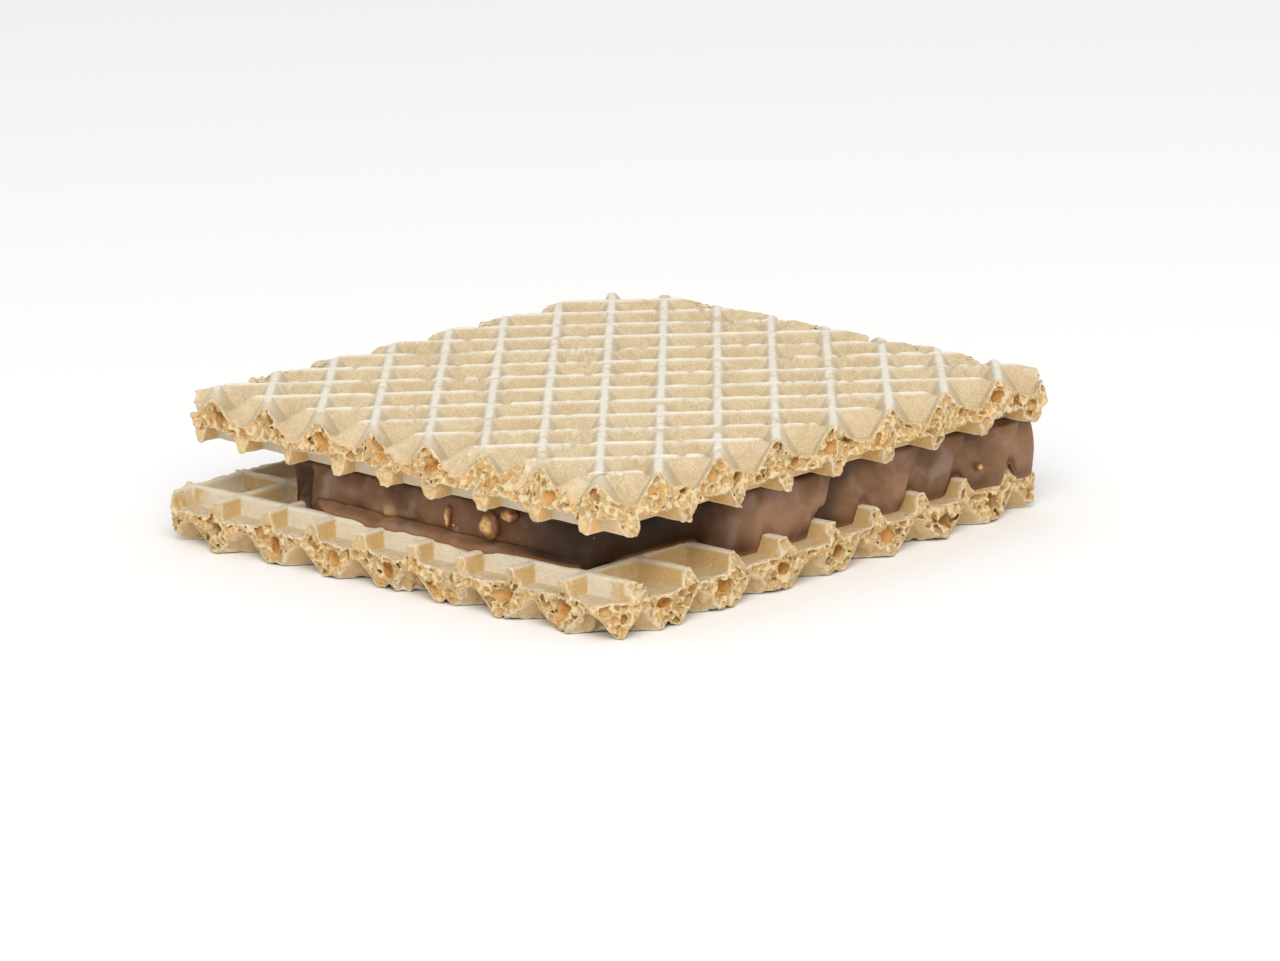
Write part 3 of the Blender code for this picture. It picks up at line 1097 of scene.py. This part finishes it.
        # Painted light: the flanks beside the v-ridges, which lie in shade, are painted paler with cream
        painted_flank_light = ease(1.05, 0.25, np.abs(self.outer.across(x, y)[0])) * ease(0.3, 0.1, below)
        level = np.maximum(level, 0.24 * painted_flank_light)
        edge = ease(0.46, 0.10, rim + 0.16 * self.grain(21, 0.32, x, y, t))
        torn = np.maximum((1.0 - skin) * ease(2.2, 1.2, rim), skin * edge * 0.7)
        deep = (1.0 - skin) * ease(0.06, 0.80, rim)
        deep = deep + skin * ease(0.7, 2.1, THICKNESS - outer) * ease(0.3, 0.1, below)
        near_y = self.mostly(np.abs(y) - np.abs(x))
        tooth = ease(self.tooth_top + 0.35, self.tooth_top, t) * (0.35 + 0.65 * near_y)
        torn, edge = torn * (1.0 - 0.85 * tooth), edge * (1.0 - 0.75 * tooth)
        across = near_y * np.abs(in_x) + (1.0 - near_y) * np.abs(in_y)
        along = near_y * np.abs(in_y) + (1.0 - near_y) * np.abs(in_x)
        on_inner = ease(0.25, 0.08, above) * skin
        near_right = self.mostly(x - np.abs(y))
        # Painted glow: warm light passing through and bouncing inside the crust, on inner walls standing
        # across the nearest side and on all inner walls near the front right side
        painted_glow = ease(0.35, 0.95, across) * ease(1.3, 0.5, along) * on_inner
        painted_glow = np.maximum(painted_glow, near_right * on_inner * (0.45 + 0.45 * ease(0.35, 0.95, along)))
        # Painted light: inner walls that run along the nearest side face the light, and are painted paler
        # with cream
        painted_lit_wall = ease(0.35, 0.95, along) * ease(0.6, 0.2, across) * (1.0 - near_right)
        level = np.maximum(level, 0.32 * painted_lit_wall * on_inner)
        # Painted bounce light from the floor, as glow on the low parts of the outer face
        low = ease(0.15, 0.6, THICKNESS - outer) * ease(0.2, 0.1, below)
        painted_glow = np.maximum(painted_glow, self.painted_bounce_glow * low)
        # The torn foam of the teeth gets painted glow too, and broken edges lose it
        painted_glow = np.maximum(painted_glow * (1.0 - edge), 0.6 * tooth * (1.0 - skin))
        return np.stack([np.maximum(level * skin, edge * skin), torn, deep, painted_glow], 1)

    def to_row(self, place: np.ndarray) -> np.ndarray:
        """Places in the row frame: turned, shifted, and its height counted from its inner face."""
        cos, sin = math.cos(self.turn), math.sin(self.turn)
        x, y, t = place.T
        return np.stack([self.middle[0] + x * cos - y * sin, self.middle[1] + x * sin + y * cos,
                         self.inner_z + self.up * t], 1)

    def add(self, name: str, verts: np.ndarray, faces: list[np.ndarray]) -> None:
        """Make one piece of this wafer.

        Args:
            name: What the piece is.
            verts: Places in the wafer's own frame.
            faces: Face arrays, facing out in that frame.
        """
        if self.up < 0:
            faces = [f[:, ::-1] for f in faces]
        self.pieces.append(make_mesh(f"{self.name}_{name}", self.to_row(verts), faces,
                                     self.finish_at(verts)))

    def make_sheet(self, face: Face, count: int) -> None:
        """The middle of one face, as heights over a grid along its own lattice.

        Args:
            face: Which face.
            count: Grid lines in each pitch.
        """
        lattice = self.outer if face is Face.OUTER else self.inner
        half = SIDE / 2.0 - self.sheet_inset
        reach = half * (abs(math.cos(lattice.turn)) + abs(math.sin(lattice.turn))) + lattice.pitch
        lines = lattice.lines(reach, count)
        b, a = np.meshgrid(lines, lines, indexing="ij")
        cos, sin = math.cos(lattice.turn), math.sin(lattice.turn)
        x = (lattice.phase[0] + a * cos - b * sin).ravel()
        y = (lattice.phase[1] + a * sin + b * cos).ravel()
        quads = grid_faces(len(lines), len(lines), wrap=False)
        mid_x, mid_y = x[quads].mean(1), y[quads].mean(1)
        inside = self.inset(mid_x, mid_y) > self.sheet_inset
        inside |= SIDE / 2.0 - np.maximum(np.abs(mid_x), np.abs(mid_y)) > self.rim_depth
        flat, quads = drop_unused(np.stack([x, y], 1), quads[inside])
        x, y = flat.T
        sunk = self.rim_sink * ease(0.32, 0.05, self.inset(x, y) - self.sheet_inset)
        if face is Face.OUTER:
            height, back = self.outer_height(x, y) - sunk, THICKNESS * self.outer_back
        else:
            height, back = self.inner_height(x, y) + sunk, THICKNESS * self.inner_back
            quads = quads[:, ::-1]
        verts, faces = closed_slab(np.stack([x, y, height], 1), quads, back)
        self.add(f"{face.value}_face", verts, faces)

    def make_rim(self, side: Side) -> None:
        """The broken rim of one side, as the skin of the solid field.

        The four rims follow each other like a pinwheel, each with one corner, and reach a
        little into the next one, where they sink below it.

        Args:
            side: Which side.
        """
        step = self.fine_step if side.in_view else self.coarse_step
        out = np.array(side.value)
        along = np.array([-out[1], out[0]])
        half = SIDE / 2.0
        start, stop = -(half + self.spare), half - self.rim_depth + self.overlap
        near, far = half - self.rim_depth - self.margin, half + self.spare
        ends = np.stack([along * start + out * near, along * stop + out * far])
        low = np.floor(ends.min(0) / step) * step
        high = np.ceil(ends.max(0) / step) * step
        x = np.arange(low[0], high[0] + step / 2, step)[:, None, None]
        y = np.arange(low[1], high[1] + step / 2, step)[None, :, None]
        t = np.arange(-2 * step, THICKNESS + 3 * step, step)[None, None, :]
        values = self.solid(x, y, t, step, side)
        way = along[0] * x + along[1] * y
        values = values - np.where(way > stop - self.overlap, self.rim_sink, 0.0)
        values = np.minimum(values, stop - way - 0.02)
        core = self.inset(x, y) > self.hole_depth + 0.4
        values = np.where((values > 0) & ~joined_to(core, values > 0), -step / 2, values)
        for axis in range(3):
            ends_of_axis = [slice(None)] * 3
            ends_of_axis[axis] = [0, -1]
            values[tuple(ends_of_axis)] = -step
        verts, quads = surface_net(values.astype(np.float32), np.array([low[0], low[1], t.min()]), step)
        self.add(f"rim_{side.name.lower()}", verts, [quads])

    def build(self) -> None:
        """Make both faces and all four rims."""
        self.make_sheet(Face.OUTER, self.outer_lines)
        self.make_sheet(Face.INNER, self.inner_lines)
        for side in Side:
            self.make_rim(side)


@dataclass
class ChocolateSlab(Assembly):
    """The slab of chocolate between the wafers. Its plan is measured from the upper wafer's middle."""

    below: Wafer
    above: Wafer
    node: str = "filling"
    low: tuple[float, float] = (-18.9, -24.3)
    high: tuple[float, float] = (24.6, 26.6)
    left_cut: float = 3.4
    back_cut: float = 4.0
    right_cut: float = 0.6
    waist: float = 1.0
    # The front corner, where the slab stops at a ridge of the lower wafer
    front_corner: tuple[tuple[float, float], ...] = (
        (19.1, -24.3), (20.3, -23.2), (20.8, -12.3), (23.0, -10.6))
    step: float = 0.14
    rounding: float = 0.7
    # Place along the front right wall, depth, and the width over which the fold drops
    folds: tuple[tuple[float, float, float], ...] = (
        (-12.5, 0.35, 0.6), (0.3, 1.05, 0.14), (10.8, 0.45, 0.7), (16.2, 0.35, 0.8), (22.6, 0.30, 0.6))
    # Where the rings of the underside and the top lie, in from the wall
    rings: tuple[float, ...] = (0.15, 0.35, 0.6, 0.9, 1.3, 1.8, 2.3, 2.8, 3.3, 3.8, 4.4, 5.2, 6.2, 7.4, 9.0,
                                11.0, 14.0, 18.0, 22.0)
    round_over: float = 0.9
    free_until: float = 2.5
    nearest_hub: float = 0.97
    fold_lean: float = 0.6
    fold_length: float = 3.4
    lip: float = 1.2
    lip_foot: float = 4.38
    lip_top: float = 5.2
    nut_spot: tuple[float, float, float] = (-2.7, 0.30, 0.62)
    lip_height: float = 0.16
    wall_rows: int = 40
    clear: float = 0.03
    shoulder: float = 0.42
    fill_start: float = 2.2
    fill_end: float = 4.4
    seed: int = 21
    pieces: list[bpy.types.Object] = field(default_factory=list)

    def outline(self) -> tuple[np.ndarray, np.ndarray]:
        """Points round the slab in the frame, and the ways that its wall faces.

        The plan is walked in even steps, and a moving mean makes its corners round.

        Returns:
            Points and outward normals.
        """
        (x0, y0), (x1, y1) = self.low, self.high
        path = [(x0 + self.left_cut, y0), *self.front_corner, (x1 - self.waist, -8.5),
                (x1 - self.waist, 16.0), (x1, 21.5), (x1, y1 - self.right_cut),
                (x1 - self.right_cut, y1), (x0 + self.back_cut, y1), (x0, y1 - self.back_cut),
                (x0, y0 + self.left_cut)]
        path = np.array(path) + np.array(TOP_MIDDLE)
        closed = np.concatenate([path, path[:1]])
        lengths = np.concatenate([[0], np.cumsum(np.linalg.norm(np.diff(closed, axis=0), axis=1))])
        count = int(lengths[-1] / self.step)
        walk = np.arange(count) / count * lengths[-1]
        points = np.stack([np.interp(walk, lengths, closed[:, k]) for k in range(2)], 1)
        window = int(self.rounding / self.step)
        points = np.mean([np.roll(points, k, axis=0) for k in range(-window, window + 1)], axis=0)
        along = np.roll(points, -1, axis=0) - np.roll(points, 1, axis=0)
        along /= np.linalg.norm(along, axis=1)[:, None]
        return points, np.stack([along[:, 1], -along[:, 0]], 1)

    def gap(self, wafer: Wafer, points: np.ndarray) -> np.ndarray:
        """Height of a wafer's inner face at places in the frame."""
        cos, sin = math.cos(wafer.turn), math.sin(wafer.turn)
        dx, dy = points[..., 0] - wafer.middle[0], points[..., 1] - wafer.middle[1]
        return wafer.inner_z + wafer.up * wafer.inner_height(dx * cos + dy * sin, dy * cos - dx * sin)

    def folded(self, y: np.ndarray, share: np.ndarray) -> np.ndarray:
        """How far the front right wall stands out, with its leaning folds.

        At a fold the wall drops in by a smooth step, and it comes back out with an exponential.

        Args:
            y: Places along the wall.
            share: Shares of the height, one row each.

        Returns:
            One row of distances for each share.
        """
        here = y[None, :] - self.fold_lean * FILLING_SPACE * (share - 0.4)
        out = np.full_like(here, 0.25)
        for place, depth, width in self.folds:
            past = here - place
            out = out - depth * ease(0.0, width, past) * np.exp(-np.maximum(past, 0.0) / self.fold_length)
        return out

    def bulge(self, points: np.ndarray, normals: np.ndarray, share: np.ndarray) -> np.ndarray:
        """How far the wall stands out at each point and share of its height, without the lip.

        The front right wall is folded, and the front left one has a hollow at its left end.

        Args:
            points: Points round the slab.
            normals: The ways that its wall faces.
            share: Shares of the height, one row each.

        Returns:
            One row of distances for each share.
        """
        x, y = (points - np.array(TOP_MIDDLE)).T
        facing_right = np.clip(normals[:, 0], 0, 1) ** 2 * ease(-13.0, -10.0, y)
        facing_left = np.clip(-normals[:, 1], 0, 1) ** 2
        height = share * FILLING_SPACE
        out = facing_right * self.folded(y, share)
        out = out + 0.30 * self.grain(1, 4.2, x[None, :], y[None, :], height * 0.6)
        out = out + 0.07 * self.grain(2, 1.1, x[None, :], y[None, :], height)
        out = out + 0.32 * np.sin(np.pi * share) - 0.18
        out = out + 0.5 * facing_left * self.spot(x, share)
        hollow = ease(-12.4, -13.1, x - 0.5 * (share - 0.5)) * np.sin(np.pi * np.clip(share, 0.05, 0.95))
        return out - 1.15 * facing_left * hollow

    def lip_out(self, points: np.ndarray, normals: np.ndarray, share: np.ndarray) -> np.ndarray:
        """How far the rounded lip at the foot stands out: a bead that ends in a crease."""
        reach = self.reach(points, normals)
        lip = np.clip(1.0 - (share / self.lip_height) ** 2.4, 0.0, 1.0) ** 0.6
        crease = 0.22 * np.exp(-((share - self.lip_height - 0.02) / 0.035) ** 2) * ease(0.1, 0.3, reach)
        return self.lip * reach * lip - crease

    def reach(self, points: np.ndarray, normals: np.ndarray) -> np.ndarray:
        """Share of the lip's full reach at each point: it is on the front left wall only."""
        x, y = (points - np.array(TOP_MIDDLE)).T
        reach = ease(-12.8, -8.6, x) * (1.0 - 0.8 * ease(8.0, 14.5, x)) * ease(21.0, 18.0, x)
        reach = reach * (0.95 + 0.10 * self.grain(3, 2.2, x, y) + 0.02 * np.maximum(4.0 - x, 0.0))
        return reach * np.clip(-normals[:, 1], 0, 1) ** 2

    def spot(self, x: np.ndarray, share: np.ndarray) -> np.ndarray:
        """A bell over the place where a nut lies just below the chocolate."""
        place, level, wide = self.nut_spot
        return np.exp(-((x - place) / wide) ** 2 - ((share - level) * FILLING_SPACE / wide) ** 2)

    def colouring(self, points: np.ndarray, share: np.ndarray, out: np.ndarray) -> np.ndarray:
        """The finish of the wall.

        Args:
            points: Points round the slab.
            share: Shares of the height, one row each.
            out: How far the wall stands out there.

        Returns:
            Four values for each row and point: reddish edge, painted shade in hollows, at the
            front corner and low on the right, painted sheen on bulges, the lip and the right end, and nut.
        """
        x, y = (points - np.array(TOP_MIDDLE)).T
        smudge = 0.25 * self.grain(5, 2.4, x[None, :], y[None, :], share * FILLING_SPACE)
        # Painted shade near the front corner, deep under the upper wafer's overhang
        near_front = ease(12.0, 17.5, x) * ease(-7.0, -14.0, y)
        foot = ease(0.10, 0.01, share) * np.ones(len(x))
        crease = np.exp(-((share - self.lip_height - 0.02) / 0.03) ** 2)
        crease = crease * ease(-13.0, -10.0, x) * ease(16.0, 12.0, x)
        # Painted shade low on the right part of the wall, and where the wall is set back
        low = ease(0.34, 0.06, share) * 0.30 * ease(10.0, 20.0, x)
        hollow = np.clip(near_front * (0.95 - 0.5 * smudge) + ease(-0.05, -0.40, out) * 0.6 + low, 0, 1)
        # Painted sheen on the bulges, painted light at the front right where the waist leaves the wall in
        # shade, and a painted highlight on the lip and at the right end
        painted_sheen = ease(0.05, 0.50, out + smudge) * (1.0 - near_front)
        painted_sheen = painted_sheen + 0.35 * ease(20.0, 23.0, x) * ease(-8.0, -2.0, y)
        end = ease(25.6, 26.5, y) * ease(20.0, 23.0, x) * (0.75 + smudge)
        edge = np.clip(0.7 * foot + 0.55 * crease * ease(-0.5, 0.4, smudge * 4) + end, 0, 1)
        left = ease(-22.0, -23.5, y)
        on_lip = left * ease(-14.0, -12.0, x) * ease(15.0, 8.0, x) * (share < self.lip_height)
        painted_sheen = np.maximum(painted_sheen, 0.5 * on_lip)
        painted_sheen = np.maximum(painted_sheen, 0.9 * ease(17.0, 23.0, y) * ease(20.0, 23.0, x))
        return np.stack([edge, hollow, painted_sheen, left * self.spot(x, share)], 2)

    def build(self) -> None:
        """The slab: rings from the middle of its underside out to its wall, up and back in.

        A ring is the outline drawn in by an inset. On the underside its height is that of the
        lower wafer's inner face there, but the lip's hangs free. The wall goes up to a round
        shoulder under the upper wafer's crests, and some way in the top rises into its pits.
        """
        points, normals = self.outline()
        middle = points.mean(0)
        share = (np.linspace(0.0, 1.0, self.wall_rows) ** 1.35)[:, None]
        out = self.bulge(points, normals, share)
        lip = self.lip_out(points, normals, share)
        wall = points[None] + normals[None] * (out + lip)[:, :, None]
        inward = np.array(self.rings)
        far = np.linalg.norm(wall - middle, axis=2)
        under_share = np.minimum(inward[::-1, None] / far[0], self.nearest_hub)[..., None]
        over_share = np.minimum(inward[:, None] / far[-1], self.nearest_hub)[..., None]
        under = wall[0][None] + (middle - wall[0])[None] * under_share
        over = wall[-1][None] + (middle - wall[-1])[None] * over_share
        crest = self.above.inner_z - self.clear
        droop = 0.12 * self.grain(7, 2.0, points[:, 0], points[:, 1])
        held = ease(0.0, 0.2, self.reach(points, normals))[None, :]
        hang = (self.lip_foot + droop)[None, :] * held
        floor = np.maximum(self.gap(self.below, wall[:1]) + self.clear, hang)
        top = crest - self.shoulder
        wavy = 0.08 * self.grain(6, 1.3, points[:, 0], points[:, 1])[None, :]
        knee = floor + (top - floor) * self.lip_height
        knee = knee + (self.lip_top + wavy - knee) * held
        low_part = floor + (knee - floor) * share / self.lip_height
        high_part = knee + (top - knee) * (share - self.lip_height) / (1.0 - self.lip_height)
        wall_z = np.where(share < self.lip_height, low_part, high_part)
        under_z = self.gap(self.below, under) + self.clear
        under_z = np.maximum(under_z, hang * (inward[::-1, None] < self.free_until))
        rounded = crest - self.shoulder * (1.0 - np.sqrt(np.clip(inward / self.round_over, 0, 1)))[:, None]
        risen = self.above.inner.depth * ease(self.fill_start, self.fill_end, inward)[:, None]
        over_z = np.minimum(rounded + risen, self.gap(self.above, over) - self.clear)
        rings = np.concatenate([under, wall, over])
        heights = np.concatenate([under_z, wall_z, over_z])
        rows, columns = heights.shape
        verts = np.concatenate([rings, heights[..., None]], 2).reshape(-1, 3)
        low = float(self.gap(self.below, middle)) + self.clear
        high = float(self.gap(self.above, middle)) - self.clear
        hubs = np.array([[middle[0], middle[1], low], [middle[0], middle[1], high]])
        finish = np.zeros((rows, columns, 4))
        finish[len(under):len(under) + self.wall_rows] = self.colouring(points, share, out)
        finish = np.concatenate([finish.reshape(-1, 4), np.zeros((2, 4))])
        self.pieces.append(make_mesh("chocolate_slab", np.concatenate([verts, hubs]),
                                     closed_rings(rows, columns), finish))


@dataclass
class NutPieces:
    """Chopped nuts in the chocolate's sides, each a lump with flat breaks."""

    # Place along the side, height, distance out of the plain wall, and half sizes
    front_left: tuple = ((4.9, 6.60, 0.30, (0.37, 0.42, 0.95)), (10.0, 6.78, 0.42, (0.92, 0.66, 1.12)),
                         (12.2, 7.92, 0.12, (0.80, 0.60, 0.60)), (5.55, 6.0, 0.30, (0.17, 0.15, 0.14)))
    front_right: tuple = ((18.9, 5.35, -0.05, (0.42, 0.42, 0.36)),)
    wall_left: float = -24.3
    wall_right: float = 24.6
    rows: int = 20
    columns: int = 32
    seed: int = 61

    def lump(self, centre: tuple[float, float, float], half: tuple[float, float, float],
             seed: int) -> tuple[np.ndarray, list[np.ndarray], np.ndarray]:
        """A closed lump: a ball stretched to its half sizes, with noise in its radius.

        Args:
            centre: Its middle.
            half: Its half sizes.
            seed: Seed of its noise.

        Returns:
            Vertices, face arrays, and the way that each vertex faces.
        """
        polar = np.linspace(0, np.pi, self.rows + 2)[1:-1, None]
        turn = np.arange(self.columns)[None, :] / self.columns * 2 * np.pi
        ball = np.stack(np.broadcast_arrays(np.sin(polar) * np.cos(turn), np.sin(polar) * np.sin(turn),
                                            -np.cos(polar)), 2).reshape(-1, 3)
        ball = np.concatenate([ball, [[0, 0, -1]], [[0, 0, 1]]])
        swell = 1.0 + 0.14 * Grain(seed, 0.8).at(*ball.T) + 0.10 * Grain(seed + 1, 0.35).at(*ball.T)
        verts = np.array(centre) + ball * swell[:, None] * np.array(half)
        return verts, closed_rings(self.rows, self.columns), ball

    def build(self, material: bpy.types.Material) -> None:
        """Make and dress every nut piece.

        Args:
            material: The nut's material.
        """
        places = [((x + TOP_MIDDLE[0], self.wall_left - out + TOP_MIDDLE[1], z), half, (0.0, -1.0, 0.0))
                  for x, z, out, half in self.front_left]
        places += [((self.wall_right + out + TOP_MIDDLE[0], y + TOP_MIDDLE[1], z), half, (1.0, 0.0, 0.0))
                   for y, z, out, half in self.front_right]
        for number, (centre, half, way) in enumerate(places):
            verts, faces, ball = self.lump(centre, half, self.seed + number)
            finish = np.zeros((len(verts), 4))
            finish[:, 0] = ease(0.96, 0.50, ball @ np.array(way))
            piece = make_mesh(f"nut_{number}", verts, faces, finish)
            settle(piece, material)


@dataclass(frozen=True)
class Studio:
    """The pale floor, the soft light and the camera of the photo."""

    azimuth: float = 46.12
    elevation: float = 14.64
    roll: float = -1.77
    distance: float = 447.36
    target: tuple[float, float, float] = (27.93, -22.94, 13.2)
    lens: float = 157.28
    sensor: float = 36.0
    clip: tuple[float, float] = (0.01, 20.0)
    floor_side: float = 6000.0
    floor_colour: Colour = (0.93, 0.925, 0.915)
    key_way: tuple[float, float, float] = (0.60, -0.54, 0.66)
    key_side: float = 500.0
    key_away: float = 800.0
    key_power: float = 4.4
    room_light: float = 0.76

    def camera(self) -> None:
        """Place the camera on its ray from the target, turned by its roll."""
        az, el, roll = (math.radians(v) for v in (self.azimuth, self.elevation, self.roll))
        back = Vector((math.sin(az) * math.cos(el), -math.cos(az) * math.cos(el), math.sin(el)))
        level = Vector((math.cos(az), math.sin(az), 0.0))
        upright = back.cross(level)
        right = level * math.cos(roll) + upright * math.sin(roll)
        turned = Matrix((right, back.cross(right), back)).transposed().to_4x4()
        data = bpy.data.cameras.new("photo_camera")
        data.lens, data.sensor_width = self.lens, self.sensor
        data.clip_start, data.clip_end = self.clip
        cam = bpy.data.objects.new("photo_camera", data)
        spot = (Vector(self.target) + back * self.distance) * METRES
        cam.matrix_world = Matrix.Translation(spot) @ turned
        bpy.context.scene.collection.objects.link(cam)
        bpy.context.scene.camera = cam

    def floor(self) -> None:
        """A plain pale floor."""
        half = self.floor_side / 2.0
        verts = np.array([(-half, -half, 0), (half, -half, 0), (half, half, 0), (-half, half, 0)], float)
        piece = make_mesh("studio_floor", verts, [np.array([[0, 1, 2, 3]])])
        piece.data.materials.append(Graph("pale_floor").dress(
            {"Base Color": self.floor_colour, "Roughness": 0.9, "Specular IOR Level": 0.1}))

    def light(self) -> None:
        """A square soft light that looks at the biscuit."""
        data = bpy.data.lights.new("key_light", "AREA")
        data.size, data.energy = self.key_side * METRES, self.key_power
        lamp = bpy.data.objects.new("key_light", data)
        back = Vector(self.key_way).normalized()
        lamp.location = back * self.key_away * METRES
        lamp.rotation_mode = "QUATERNION"
        lamp.rotation_quaternion = (-back).to_track_quat("-Z", "Y")
        bpy.context.scene.collection.objects.link(lamp)

    def build(self) -> None:
        """Set the floor, the light, the white surroundings and the camera."""
        self.floor()
        self.light()
        world = bpy.data.worlds.new("white_room")
        world.use_nodes = True
        background = world.node_tree.nodes["Background"]
        background.inputs[0].default_value = (1.0, 1.0, 1.0, 1.0)
        background.inputs[1].default_value = self.room_light
        bpy.context.scene.world = world
        bpy.context.scene.view_settings.view_transform = "Standard"
        self.camera()


def main() -> None:
    """Build the studio, the two wafers, the chocolate and the nuts, in that order."""
    logging.basicConfig(level=logging.INFO, format="%(name)s %(message)s")
    Studio().build()
    quarter = math.radians(45.0)
    bottom = Wafer(
        name="lower", node="wafer_bottom", middle=BOTTOM_MIDDLE, turn=BOTTOM_TURN,
        inner_z=THICKNESS, up=-1.0,
        outer=Lattice(4.81, 0.58, 1.15, 2.2, quarter, (0.0, 0.0)),
        inner=Lattice(5.85, 0.75, 3.8, 1.5, 0.0, (-2.75, -0.5)),
        corners=(1.6, 2.6, 1.2, 3.6), seed=105, side_wear=0.0, painted_bounce_glow=0.75, inner_lean=(0.15, 0.45),
        open_from=23.6)
    top = Wafer(
        name="upper", node="wafer_top", middle=TOP_MIDDLE, turn=0.0,
        inner_z=THICKNESS + FILLING_SPACE, up=1.0,
        outer=Lattice(4.81, 0.58, 1.15, 2.2, quarter, (-1.7, 0.2)),
        inner=Lattice(6.0, 0.75, 3.95, 1.5, 0.0, (-0.75, -0.4)),
        corners=(2.0, 2.4, 2.4, 6.4), seed=208, rim_depth=4.3, sheet_inset=3.9, broken_side=0.45,
        broken_back=((-27.0, 0.3), (-10.0, 0.7), (0.0, 0.7), (5.0, 1.0), (9.5, 2.5), (15.0, 2.7),
                     (21.0, 1.9), (26.0, 0.8)))
    # The upper wafer gets a brighter painted glow, for the light through its hanging teeth
    for wafer, crust in ((bottom, BakedCrust()), (top, BakedCrust(painted_glow=(0.80, 0.51, 0.185)))):
        wafer.build()
        wafer.dress(crust.material(f"{wafer.name}_crust"), "baked_wafer")
    slab = ChocolateSlab(below=bottom, above=top)
    slab.build()
    slab.dress(SatinChocolate().material("satin_chocolate"), "chocolate_filling")
    NutPieces().build(RoastedNut().material("roasted_nut"))


if __name__ == "__main__":
    main()
